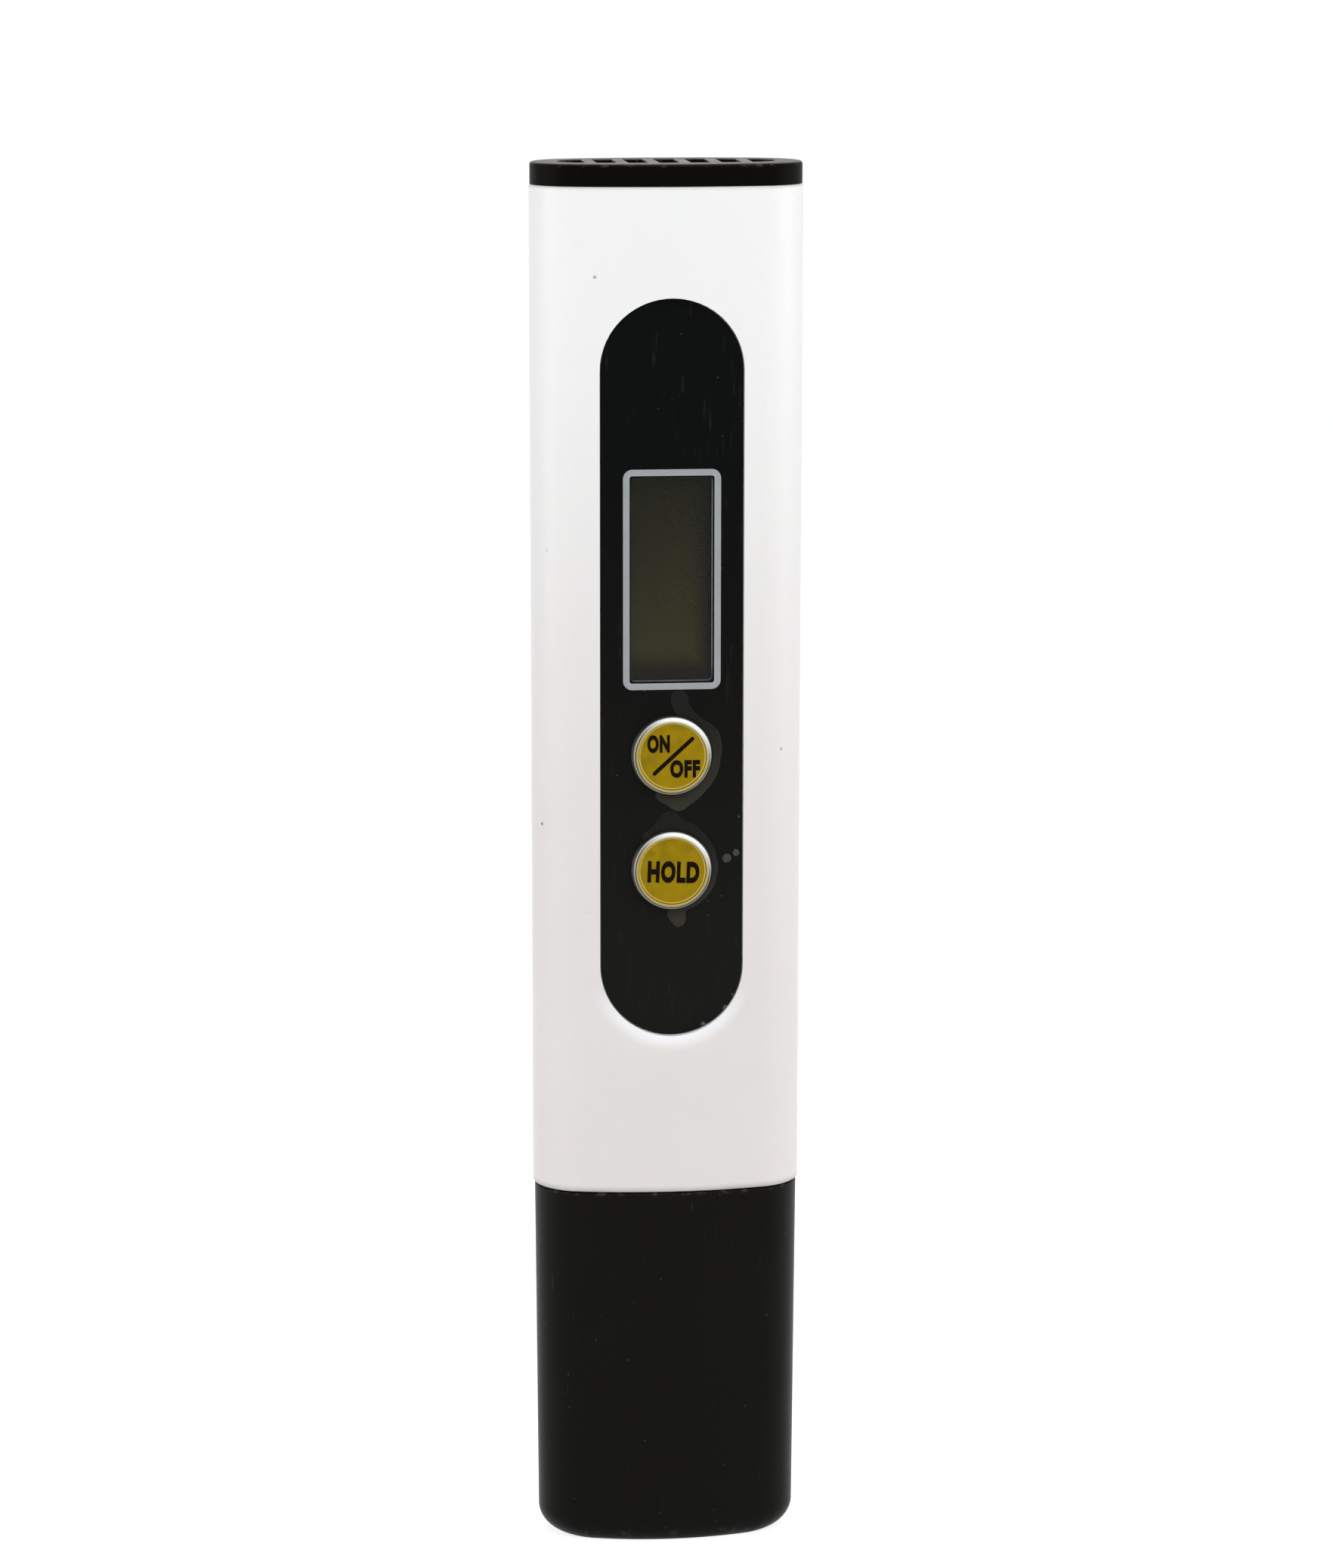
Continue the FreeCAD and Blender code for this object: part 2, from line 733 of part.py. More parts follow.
def make_lead(x, low_z, diameter):
    """Wire that rises from the probe, steps forward and lies on the front of the board."""
    board_y = board_front_y - diameter / 2
    start = Vector(x, 0, low_z)
    first = Vector(x, 0, low_z + lead_rise)
    second = Vector(x, board_y, board_bottom_z - lead_rise / 2)
    end = Vector(x, board_y, board_bottom_z + lead_board_lap)
    route = rounded_route([start, first, second, end], lead_bend_radius)
    profile = Part.Wire(Part.makeCircle(diameter / 2, start, Vector(0, 0, 1)))
    return route.makePipeShell([profile], True, False)


def rounded_route(points, radius):
    """Wire through the points, each corner turned by a tangent arc."""
    edges = []
    last = points[0]
    for before, corner, after in zip(points, points[1:], points[2:]):
        back = (before - corner).normalize()
        ahead = (after - corner).normalize()
        half_turn = (math.pi - back.getAngle(ahead)) / 2
        run = radius * math.tan(half_turn)
        enter = corner + back * run
        leave = corner + ahead * run
        middle = (back + ahead).normalize() * (radius / math.cos(half_turn) - radius)
        edges.append(Part.LineSegment(last, enter).toShape())
        edges.append(Part.Arc(enter, corner + middle, leave).toShape())
        last = leave
    edges.append(Part.LineSegment(last, points[-1]).toShape())
    return Part.Wire(edges)


def make_nodes():
    """Every separate piece, by name."""
    bay_front_y = -cell_count * cell_height / 2
    nodes = {
        "housing": make_housing(),
        "face_panel": make_face_panel(),
        "display_window": make_display_window(),
        "probe_cap": make_probe_cap(),
        "battery_cap": make_battery_cap(),
        "battery_holder": make_battery_holder(),
        "battery_front": make_cell(bay_front_y + cell_height),
        "battery_rear": make_cell(bay_front_y + 2 * cell_height),
        "battery_contact_front": make_battery_contact(-1),
        "battery_contact_rear": make_battery_contact(1),
        "circuit_board": make_circuit_board(),
        "lcd_front_glass": make_glass(front_glass_width, glass_front_y, glass_thickness),
        "lcd_rear_glass": make_glass(rear_glass_width, front_glass_back_y, glass_thickness),
        "lcd_reflector": make_glass(rear_glass_width, rear_glass_back_y, reflector_thickness),
        "lcd_frame": make_lcd_frame(),
        "zebra_strip_left": make_zebra_strip(-1),
        "zebra_strip_right": make_zebra_strip(1),
        "chip_blob": make_chip_blob(),
        "chip_resistors": make_chips(resistor_size, chip_rows, -1, board_top_z - chip_top_drop),
        "chip_capacitors": make_chips(capacitor_size, capacitor_rows, 1, board_top_z - chip_top_drop),
        "trimmer_body": make_trimmer_body(),
        "trimmer_screw": make_trimmer_screw(),
        "electrode_plug": make_electrode_plug(),
        "potting_seal": make_potting_seal(),
        "electrode_left": make_electrode(-1),
        "electrode_right": make_electrode(1),
        "electrode_lead_left": make_lead(-pin_spacing / 2, pin_top_z, lead_diameter),
        "electrode_lead_right": make_lead(pin_spacing / 2, pin_top_z, lead_diameter),
        "temperature_sensor": make_temperature_sensor(),
        "temperature_leads": [
            make_lead(side * sensor_lead_offset,
                      plug_top_z - sensor_depth + sensor_clearance + sensor_length,
                      sensor_lead_diameter) for side in (-1, 1)],
    }
    for name, z in buttons.items():
        nodes[name + "_button"] = make_button(z)
        nodes[name + "_button_disc"] = make_button_disc(z)
        nodes[name + "_switch"] = make_switch(z)
        nodes[name + "_switch_plunger"] = make_plunger(z)
    return nodes


def write_parts(nodes):
    os.makedirs("parts", exist_ok=True)
    for name, shape in nodes.items():
        if isinstance(shape, list):
            shape = Part.makeCompound(shape)
        if shape.ShapeType == "Compound" and len(shape.Solids) == 1:
            shape = shape.Solids[0]
        shape.exportStep(os.path.join("parts", name + ".step"))
        print(name, len(shape.Solids), "solids", round(shape.Volume, 2), "mm3", shape.isValid())


write_parts(make_nodes())
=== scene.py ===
"""Finishes, printed pieces, light and camera for a pen-shaped meter of dissolved solids.

Sizes are in millimetres and the frame is in metres, so each length is multiplied by MM.
X is the width, Y the depth and Z the height. The display faces -Y and the meter stands on z = 0.
"""
import math

import bmesh
import bpy
from mathutils import Euler, Matrix, Vector


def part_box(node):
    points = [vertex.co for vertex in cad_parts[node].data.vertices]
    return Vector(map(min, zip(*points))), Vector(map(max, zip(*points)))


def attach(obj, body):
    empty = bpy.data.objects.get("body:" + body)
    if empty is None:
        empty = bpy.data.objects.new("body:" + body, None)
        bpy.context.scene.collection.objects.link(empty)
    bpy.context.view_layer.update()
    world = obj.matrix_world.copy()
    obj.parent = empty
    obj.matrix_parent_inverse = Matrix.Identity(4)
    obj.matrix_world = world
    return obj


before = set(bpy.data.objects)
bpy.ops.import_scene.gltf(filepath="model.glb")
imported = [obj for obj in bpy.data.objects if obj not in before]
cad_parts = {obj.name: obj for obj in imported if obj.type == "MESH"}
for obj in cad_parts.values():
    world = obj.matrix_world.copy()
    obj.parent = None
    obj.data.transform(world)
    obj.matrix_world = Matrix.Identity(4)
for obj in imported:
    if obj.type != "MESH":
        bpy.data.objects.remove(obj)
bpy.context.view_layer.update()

MM = 0.001

# Camera, fitted to the photograph: place in millimetres, angles in radians, focus in pixels, and
# the nearest and farthest that it sees in metres
PHOTO_WIDTH = 1764
PHOTO_HEIGHT = 2075
CAMERA_PLACE = (-58.32, -540.0, 184.03)
CAMERA_YAW = 0.10773
CAMERA_PITCH = 0.15481
CAMERA_ROLL = 0.0008
CAMERA_FOCUS = 6594.7
CAMERA_RISE = -0.08
SENSOR = 36.0
NEAREST_SEEN = 0.01
FARTHEST_SEEN = 50

# Lamps, in metres and watts: name, place, aim, size and power
LAMPS = [
    ("key_lamp", (0.15, -0.55, 0.7), (0, 0, 0.15), (0.6, 0.4), 3.2),
    ("left_lamp", (-0.75, -0.1, 0.2), (0, 0, 0.08), (0.4, 0.8), 2.3),
    ("right_lamp", (0.75, -0.1, 0.2), (0, 0, 0.08), (0.4, 0.8), 1.6),
    ("back_lamp", (0.1, 0.75, 0.6), (0, 0, 0.1), (0.6, 0.6), 1.7),
]
ROOM_LIGHT = (0.5, 0.5, 0.5, 1)
WHITE = (1, 1, 1, 1)

# Floor: metres from its middle to its edge, squares along a side, and its own glow where it is seen
FLOOR_REACH = 6.0
FLOOR_SQUARES = 8
FLOOR_GLOW = 0.84

# Printed frame round the display
PRINT_HOLE_WIDTH = 9.32
PRINT_HOLE_LENGTH = 22.8
PRINT_LINE = 0.68
PRINT_CORNER = 1.0
PRINT_INNER_CORNER = 0.3
PRINT_THICKNESS = 0.06

# Legends on the button discs: name, letters, place from the disc's centre, size and turn in degrees
LEGENDS = {
    "power": [("on", "ON", (-1.54, 1.38), (2.47, 2.0), 0),
              ("off", "OFF", (1.38, -1.42), (3.29, 1.98), 0)],
    "hold": [("hold", "HOLD", (0.12, -0.15), (5.7, 2.45), -2)],
}
LETTER_BOLDNESS = 0.055
LETTER_SPACING = 1.13
INK_THICKNESS = 0.03
SLASH_LENGTH = 6.05
SLASH_WIDTH = 0.42
SLASH_CORNER = SLASH_WIDTH / 2.2
SLASH_TURN = 42.5
SLASH_SHIFT = 0.1

# Steps in which curved outlines are drawn, and the gap under which their points are joined
LETTER_STEPS = 4
OUTLINE_STEPS = 6
WELD_GAP = 1e-4

# Protective film left round the buttons: its outer edge from the button's centre, and the part of a
# circle, in degrees, that closes it under the button
FILM_THICKNESS = 0.03
FILM_LIFT = 0.01
FILM_INNER_RADIUS = 4.5
FILM_EDGES = {
    "power": [(0.3, 4.8), (0.06, 6.8), (0.8, 7.2), (1.6, 6.8), (1.9, 5.6), (3.2, 4.1), (4.8, 3.0),
              (5.5, 1.3), (5.4, -0.5), (4.8, -2.6), (3.6, -4.2), (2.0, -5.6), (0.8, -6.25), (-0.5, -5.6),
              (-1.7, -4.7)],
    "hold": [(-3.2, 3.5), (-2.1, 4.9), (-1.2, 6.0), (0.15, 6.5), (1.2, 5.6), (2.6, 4.9), (4.1, 3.3),
             (5.0, 1.2), (5.0, -0.8), (4.2, -2.7), (2.7, -4.1), (1.6, -4.7), (1.55, -5.7), (1.2, -6.3),
             (0.5, -6.4), (0.0, -5.9), (-0.5, -4.8)],
}
FILM_ARCS = {"power": (247, 442), "hold": (267, 490)}

# Air bubbles and grains of dust under the film: place on the panel and radius
BUBBLES = [((6.1, 77.95), 0.52), ((7.1, 78.55), 0.4), ((7.4, 82.6), 0.14), ((6.75, 62.6), 0.16)]
BUBBLE_FLATNESS = 0.3
BUBBLE_RINGS = 5
BUBBLE_SIDES = 20

# White case: heights between which painted shade makes it darker and warmer towards the foot, moulding
# specks with their place on the surface and share of tint, and the soft dip round the panel's lower end
# with its painted highlight
CASE_SHADE_HEIGHTS = (150, 72)
SPECKS = [((-8.4, -6.23, 141.9), 0.74), ((12.2, -4.98, 89.8), 0.58), ((-14.0, -3.14, 81.6), 1.0),
          ((-13.5, -3.89, 112.0), 0.24)]
SPECK_RADIUS = 0.14
DISH_WIDTH = 3.0
DISH_DEPTH = 0.7
PANEL_HIGHLIGHT_REACH = (2.0, 0.2)

# Panel: heights between which it turns greyer, and nicks in the edge of its film
PANEL_FADE_HEIGHTS = (125, 62)
NICKS = [(6.0, -6.19, 61.1), (3.6, -6.19, 59.3)]
NICK_RADIUS = 0.2

# Edge of the seat in a button's cup, inside which the disc's yellow is painted as a reflection, middle
# of the painted shade line in its rim, and edges of the pale ring on its disc, as distances from the
# button's axis
CUP_SEAT_RADIUS = 3.88
CUP_SHADE_LINE_RADIUS = 4.07
DISC_RING_RADII = (3.6, 3.7)

# Part of the battery cap's top that its ribs cover, from its middle
RIB_AREA_X = 11.4
RIB_AREA_Y = 4.3

# Seal of a button cell, as distances from its axis
SEAL_RADII = (4.6, 4.85)

# Board: weave, copper runs and pads, and the chips on it with their tinned ends
WEAVE_PITCH = 0.5
RUN_PITCH = 1.3
PAD_PITCH = 2.54
PADS_FROM_MIDDLE = 8.8
CHIP_PITCH = 3.2
RESISTOR_LENGTH = 0.8
CAPACITOR_LENGTH = 1.25
CHIP_END = 0.34

# Radius of scattered grains of dust, as a share of the cell that each one lies in
GRAIN_RADIUS = 0.16

# Fine pitches of the display's conductors and of the contact rubber's layers
CONDUCTOR_PITCH = 0.3
LAYER_PITCH = 0.18


def box(node):
    """Lowest and highest corner of a node at rest, in millimetres."""
    return [Vector(corner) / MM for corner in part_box(node)]


def middle(node):
    """Middle of a node at rest, in millimetres."""
    low, high = box(node)
    return (low + high) / 2


window_low, window_high = box("display_window")
window_middle_z = middle("display_window").z
panel_low, panel_high = box("face_panel")
panel_front = panel_low.y
panel_radius = (panel_high.x - panel_low.x) / 2
panel_arc_z = panel_low.z + panel_radius
joint_z = box("probe_cap")[1].z
case_top_z = box("housing")[1].z
button_places = {button: middle(button + "_button").xz for button in LEGENDS}


class Value:
    """Number or colour that a node gives out, on which plain arithmetic works."""

    def __init__(self, nodes, socket):
        self.nodes = nodes
        self.socket = socket

    def maths(self, operation, *operands):
        return self.nodes.node("Math", {"operation": operation}, dict(enumerate(operands)))

    def __add__(self, other):
        return self.maths("ADD", self, other)

    def __radd__(self, other):
        return self.maths("ADD", other, self)

    def __sub__(self, other):
        return self.maths("SUBTRACT", self, other)

    def __rsub__(self, other):
        return self.maths("SUBTRACT", other, self)

    def __mul__(self, other):
        return self.maths("MULTIPLY", self, other)

    def __rmul__(self, other):
        return self.maths("MULTIPLY", other, self)

    def __truediv__(self, other):
        return self.maths("DIVIDE", self, other)

    def __pow__(self, other):
        return self.maths("POWER", self, other)

    def __abs__(self):
        return self.maths("ABSOLUTE", self)

    def most(self, other):
        return self.maths("MAXIMUM", self, other)

    def rings(self, tightness):
        """Fine waves between -1 and 1, with that many radians to a millimetre."""
        return self.maths("SINE", self * tightness)

    def cell(self, pitch):
        """Distance to the nearest multiple of the pitch."""
        return abs(self.maths("PINGPONG", self, pitch / 2))

    def step(self, low, high):
        """0 below low, 1 above high and smooth between; high below low turns it round."""
        settings = {"interpolation_type": "SMOOTHSTEP"}
        if high < low:
            return 1 - self.nodes.node("MapRange", settings, {0: self, 1: high, 2: low})
        return self.nodes.node("MapRange", settings, {0: self, 1: low, 2: high})


class Nodes:
    """Node tree with one way of adding a node to it."""

    def __init__(self, tree):
        self.tree = tree

    def node(self, kind, settings, sockets, output=0):
        """Adds a node: its settings are set first, then the values or links of its sockets."""
        made = self.tree.nodes.new("ShaderNode" + kind)
        for setting, value in settings.items():
            setattr(made, setting, value)
        for socket, value in sockets.items():
            self.feed(made.inputs[socket], value)
        return made if output is None else Value(self, made.outputs[output])

    def feed(self, socket, value):
        if isinstance(value, Value):
            self.tree.links.new(value.socket, socket)
        else:
            socket.default_value = value

    def mix(self, share, first, second):
        """Colour that turns from the first to the second as the share goes from 0 to 1."""
        return self.node("Mix", {"data_type": "RGBA"}, {0: share, 6: first, 7: second}, 2)

    def sight(self):
        """1 for what is seen directly, in gloss or through glass, and 0 for light that spreads."""
        rays = self.node("LightPath", {}, {}, None)
        camera, glossy, through = [Value(self, rays.outputs[name]) for name in
                                   ("Is Camera Ray", "Is Glossy Ray", "Is Transmission Ray")]
        return camera.most(glossy).most(through)


class Finish(Nodes):
    """Material with its place in millimetres, and the patterns that vary it."""

    def __init__(self, name):
        self.material = bpy.data.materials.new(name)
        self.material.use_nodes = True
        super().__init__(self.material.node_tree)
        self.shader = self.tree.nodes["Principled BSDF"]
        place = self.node("TexCoord", {}, {}, "Object")
        self.place = self.node("VectorMath", {"operation": "SCALE"}, {0: place, "Scale": 1 / MM})
        parts = self.node("SeparateXYZ", {}, {0: self.place}, None)
        self.x, self.y, self.z = [Value(self, socket) for socket in parts.outputs]

    def reach(self, x, z):
        """Distance, across the front, from the line through x and z."""
        return ((self.x - x) ** 2 + (self.z - z) ** 2) ** 0.5

    def near(self, point, radius, soft=0.5):
        """1 within the radius of a point and 0 outside it."""
        gap = self.node("VectorMath", {"operation": "DISTANCE"}, {0: self.place, 1: point}, "Value")
        return gap.step(radius * (1 + soft), radius)

    def noise(self, size, detail=2.0, stretch=(1, 1, 1)):
        """Cloudy noise between 0 and 1 whose blotches are about that many millimetres."""
        place = self.node("VectorMath", {"operation": "DIVIDE"},
                          {0: self.place, 1: [size * axis for axis in stretch]})
        return self.node("TexNoise", {}, {"Vector": place, "Scale": 1.0, "Detail": detail}, "Fac")

    def grains(self, size, share, soft=0.06):
        """Scattered round grains: the share of the cells of that size that hold one."""
        place = self.node("VectorMath", {"operation": "DIVIDE"}, {0: self.place, 1: [size] * 3})
        cells = self.node("TexVoronoi", {}, {"Vector": place, "Scale": 1.0}, None)
        chance = self.node("SeparateColor", {}, {0: Value(self, cells.outputs["Color"])})
        grain = Value(self, cells.outputs["Distance"]).step(GRAIN_RADIUS + soft, GRAIN_RADIUS)
        return grain * chance.step(1 - share, 1 - share + 0.01)

    def bump(self, height, depth, strength=1.0):
        """Relief whose height of 1 stands for that many millimetres."""
        return self.node("Bump", {}, {"Height": height, "Distance": depth * MM, "Strength": strength},
                         "Normal")

    def set(self, **sockets):
        """Sets or links the shader's own sockets."""
        for name, value in sockets.items():
            self.feed(self.shader.inputs[SOCKETS[name]], value)
        return self.material


SOCKETS = {
    "colour": "Base Color", "roughness": "Roughness", "metallic": "Metallic", "normal": "Normal",
    "alpha": "Alpha", "specular": "Specular IOR Level", "coat": "Coat Weight",
    "coat_roughness": "Coat Roughness", "scatter": "Subsurface Weight",
    "scatter_reach": "Subsurface Scale", "sheen": "Sheen Weight",
}


def tint(red, green, blue):
    """Linear colour with full cover, from the 0 to 255 values that a screen shows."""
    shares = [value / 255 for value in (red, green, blue)]
    linear = [share / 12.92 if share < 0.04045 else ((share + 0.055) / 1.055) ** 2.4
              for share in shares]
    return (*linear, 1.0)


def white_case_finish():
    """Gloss white plastic: faint flow clouds, painted shade that darkens and warms it towards the foot,
    grime in its seams, and a painted highlight below the panel.
    """
    f = Finish("white_case")
    clouds = f.noise(22, 3)
    colour = f.mix(clouds, tint(242, 243, 243), tint(247, 247, 247))
    # painted shade: darker and warmer towards the foot, where less light falls
    low_painted_shade = f.z.step(*CASE_SHADE_HEIGHTS)
    colour = f.mix(low_painted_shade * (0.6 + 0.4 * clouds), colour, tint(226, 221, 219))
    joint_seam = f.z.step(joint_z + 0.9, joint_z + 0.3) * f.z.step(joint_z - 1.0, joint_z - 0.2)
    top_seam = f.z.step(case_top_z - 0.45, case_top_z - 0.1)
    grime = joint_seam.most(top_seam) * (0.35 + 0.4 * f.noise(2.5, 3))
    colour = f.mix(grime, colour, tint(176, 174, 168))
    specks = f.grains(size=0.7, share=0.003)
    for point, share in SPECKS:
        specks = specks.most(f.near(point, SPECK_RADIUS) * share)
    colour = f.mix(specks * 0.8, colour, tint(84, 82, 78))
    from_panel = f.reach(0, panel_arc_z) - panel_radius
    front = f.y.step(-3, -5) * f.z.step(panel_arc_z - 1, panel_arc_z - 6.5)
    # painted highlight: paler plastic just below the panel's lower end, where the dip faces the light
    colour = f.mix(from_panel.step(*PANEL_HIGHLIGHT_REACH) * front, colour, tint(249, 249, 252))
    dish = (1 - from_panel / DISH_WIDTH).most(0) ** 2 * front
    grain = f.noise(0.35, 2) + 0.5 * f.noise(6, 1)
    smears = f.noise(9, 4, (1, 1, 2.5)).step(0.5, 0.72)
    return f.set(colour=colour, roughness=0.27 + 0.1 * smears + 0.06 * clouds,
                 specular=0.3, scatter=0.12, scatter_reach=0.6 * MM,
                 normal=f.bump(0.012 * grain - DISH_DEPTH * dish, 1.0))


def panel_film_finish():
    """Black printed film: fine satin grain, dust, and faint rub marks that run down it."""
    f = Finish("panel_film")
    clouds = f.noise(14, 3)
    colour = f.mix(clouds, tint(2, 4, 3), tint(6, 8, 7))
    colour = f.mix(f.z.step(*PANEL_FADE_HEIGHTS), colour, tint(21, 21, 18))
    rubs = f.noise(0.5, 2, (1, 1, 9)).step(0.62, 0.8)
    colour = f.mix(rubs * 0.12, colour, tint(70, 72, 68))
    dust = f.grains(size=0.5, share=0.02, soft=0.03)
    colour = f.mix(dust * 0.4, colour, tint(90, 90, 84))
    for point in NICKS:
        nick = f.near(point, NICK_RADIUS, soft=1.2) * f.noise(0.3, 2).step(0.35, 0.6)
        colour = f.mix(nick * 0.6, colour, tint(120, 114, 110))
    return f.set(colour=colour, roughness=0.36 + 0.14 * clouds + 0.1 * rubs, specular=0.05,
                 normal=f.bump(f.noise(0.2, 2), 0.004))


def black_cap_finish(name, node, specular, scuffed_foot=False, worn_highlit_ribs=False):
    """Spark-eroded black plastic, scuffed along its edges; the tops of ribs are worn grey, with a
    painted highlight on them.
    """
    f = Finish(name)
    low, high = box(node)
    clouds = f.noise(12, 4)
    colour = f.mix(clouds, tint(4, 3, 1), tint(9, 8, 5))
    edges = f.z.step(high.z - 0.5, high.z - 0.05)
    if scuffed_foot:
        edges = edges.most(f.z.step(low.z + 1.6, low.z + 0.2))
    scuffs = edges * f.noise(1.3, 4).step(0.5, 0.68)
    colour = f.mix(scuffs * 0.55, colour, tint(84, 82, 76))
    scratches = f.noise(0.3, 2, (1, 1, 14)).step(0.68, 0.8) * f.noise(16, 2).step(0.45, 0.6)
    colour = f.mix(scratches * 0.3, colour, tint(70, 69, 64))
    dust = f.grains(size=0.6, share=0.02, soft=0.03)
    colour = f.mix(dust * 0.35, colour, tint(90, 88, 80))
    if worn_highlit_ribs:
        # rib tops: real wear plus a painted highlight where the ribs catch the light
        among_ribs = ((f.x / RIB_AREA_X) ** 2 + (f.y / RIB_AREA_Y) ** 2).step(1.15, 0.9)
        top = f.z.step(high.z - 0.15, high.z - 0.1)
        worn_and_highlit = top * (0.2 + 0.5 * among_ribs * f.noise(2, 4).step(0.3, 0.7))
        colour = f.mix(worn_and_highlit, colour, tint(128, 116, 102))
    return f.set(colour=colour, roughness=0.34 + 0.12 * clouds + 0.1 * scuffs, specular=specular,
                 normal=f.bump(f.noise(0.28, 3), 0.02, strength=0.7))


def silver_button_finish(name, centre):
    """Plated cup with fine turning marks: a painted highlight where its rim faces up, painted shade down
    its wall and in its rim's groove, and a painted reflection of the disc in its seat.
    """
    f = Finish(name)
    right, up = f.x - centre.x, f.z - centre.y
    reach = f.reach(*centre)
    turning = reach.rings(60)
    clouds = f.noise(1.6, 3)
    # painted highlight: the rim's upper right side lighter, the rest darker
    painted_highlight = (right * 0.4 + up).step(0.2, 4.5)
    colour = f.mix(painted_highlight, tint(150, 147, 132), tint(236, 240, 238))
    colour = f.mix(clouds * 0.3 * (1 - painted_highlight), colour, tint(206, 202, 186))
    # painted reflection: the disc's yellow tinted into the cup's seat
    painted_disc_reflection = reach.step(CUP_SEAT_RADIUS + 0.04, CUP_SEAT_RADIUS - 0.04)
    colour = f.mix(painted_disc_reflection * (1 - 0.5 * painted_highlight), colour, tint(186, 158, 30))
    # painted shade: a dark line in the rim's groove, away from the lit side
    painted_groove_shade = reach.step(CUP_SHADE_LINE_RADIUS - 0.09, CUP_SHADE_LINE_RADIUS - 0.04)
    painted_groove_shade = painted_groove_shade * reach.step(CUP_SHADE_LINE_RADIUS + 0.09, CUP_SHADE_LINE_RADIUS + 0.04)
    colour = f.mix(painted_groove_shade * (1 - painted_highlight) * 0.9, colour, tint(52, 50, 44))
    # painted shade and reflection: the wall behind the rim darkened, most on its upper side
    painted_wall_shade = f.y.step(panel_front - 0.8, panel_front - 0.6)
    colour = f.mix(painted_wall_shade * (0.5 + 0.45 * up.step(1.0, 3.4)), colour, tint(34, 34, 30))
    return f.set(colour=colour, metallic=0.3 + 0.2 * clouds - 0.25 * painted_wall_shade,
                 roughness=0.3 + 0.1 * clouds + 0.03 * turning, specular=0.2,
                 normal=f.bump(turning + clouds, 0.003))


def yellow_disc_finish(name, centre):
    """Epoxy-domed yellow insert, mottled by its metal powder, with painted shade across it and a pale
    ring near its edge.
    """
    f = Finish(name)
    right, up = f.x - centre.x, f.z - centre.y
    clouds = f.noise(1.4, 4)
    mottle = f.noise(0.22, 2)
    # painted shade: darker towards the disc's upper left
    painted_shade = (up - right).step(-6, 6)
    colour = f.mix(clouds, tint(163, 134, 1), tint(145, 119, 1))
    colour = f.mix(painted_shade * clouds.step(0.35, 0.7) * 0.75, colour, tint(122, 104, 2))
    colour = f.mix(mottle.step(0.55, 0.75) * 0.2, colour, tint(184, 156, 24))
    inner, outer = DISC_RING_RADII
    reach = f.reach(*centre)
    ring = reach.step(inner - 0.1, inner) * reach.step(outer + 0.04, outer)
    colour = f.mix(ring * 0.75, colour, tint(230, 216, 140))
    return f.set(colour=colour, roughness=0.34 + 0.14 * clouds, specular=0.06,
                 coat=0.03 + 0.04 * clouds, coat_roughness=0.12, normal=f.bump(mottle, 0.006))


def ink_finish():
    """Screen-printed black ink, a little uneven and duller than the disc."""
    f = Finish("legend_ink")
    clouds = f.noise(0.3, 3)
    colour = f.mix(clouds.step(0.35, 0.75), tint(12, 5, 2), tint(26, 14, 6))
    return f.set(colour=colour, roughness=0.42 + 0.2 * clouds, specular=0.05,
                 normal=f.bump(clouds, 0.004))


def silver_print_finish():
    """Silver ink with visible flake, with a painted highlight along the edge that meets the display."""
    f = Finish("silver_print")
    flakes = f.noise(0.12, 2)
    clouds = f.noise(3.5, 3)
    colour = f.mix(clouds, tint(140, 144, 147), tint(158, 162, 165))
    colour = f.mix(flakes.step(0.5, 0.75) * 0.5, colour, tint(176, 180, 184))
    past_side = abs(f.x) - (window_high.x - window_low.x) / 2
    past_end = abs(f.z - window_middle_z) - (window_high.z - window_low.z) / 2
    # painted highlight along the inner edge by the display
    inner_edge_highlight = past_side.most(past_end).step(-0.12, -0.3)
    colour = f.mix(inner_edge_highlight * 0.35, colour, tint(176, 180, 182))
    return f.set(colour=colour, metallic=0.25 + 0.2 * flakes, roughness=0.4 + 0.15 * clouds,
                 specular=0.4, normal=f.bump(flakes, 0.006))


def lens_finish():
    """Smoked clear lens: mostly see-through, with wipe marks that dull its gloss, and more cover towards
    its foot as painted shade.
    """
    f = Finish("lens")
    smears = f.noise(4, 4, (1, 1, 3)).step(0.45, 0.7)
    # painted shade: the lens grows less clear, so darker, towards its foot
    foot_shade = f.z.step(window_low.z + 2.6, window_low.z + 0.4)
    colour = f.mix(smears, tint(16, 17, 14), tint(26, 27, 22))
    return f.set(colour=colour, alpha=0.2 + 0.06 * smears + 0.25 * foot_shade,
                 roughness=0.06 + 0.1 * smears, specular=0.3)


def display_glass_finish():
    """Display glass: olive polariser, darker at its right and foot where the frame shades it."""
    f = Finish("display_glass")
    clouds = f.noise(6, 3)
    colour = f.mix(f.z.step(window_high.z, window_low.z), tint(40, 40, 14), tint(84, 79, 44))
    colour = f.mix(clouds * 0.3, colour, tint(46, 44, 32))
    painted_shade = f.x.step(1.8, 4.6).most(f.z.step(window_low.z + 4.0, window_low.z + 0.8))
    colour = f.mix(painted_shade * 0.75, colour, tint(24, 23, 14))
    across = f.x.cell(CONDUCTOR_PITCH).step(0.02, 0.01)
    along = f.z.cell(CONDUCTOR_PITCH).step(0.02, 0.01)
    colour = f.mix(across.most(along) * 0.15, colour, tint(40, 40, 30))
    return f.set(colour=colour, roughness=0.12 + 0.1 * clouds, specular=0.12)


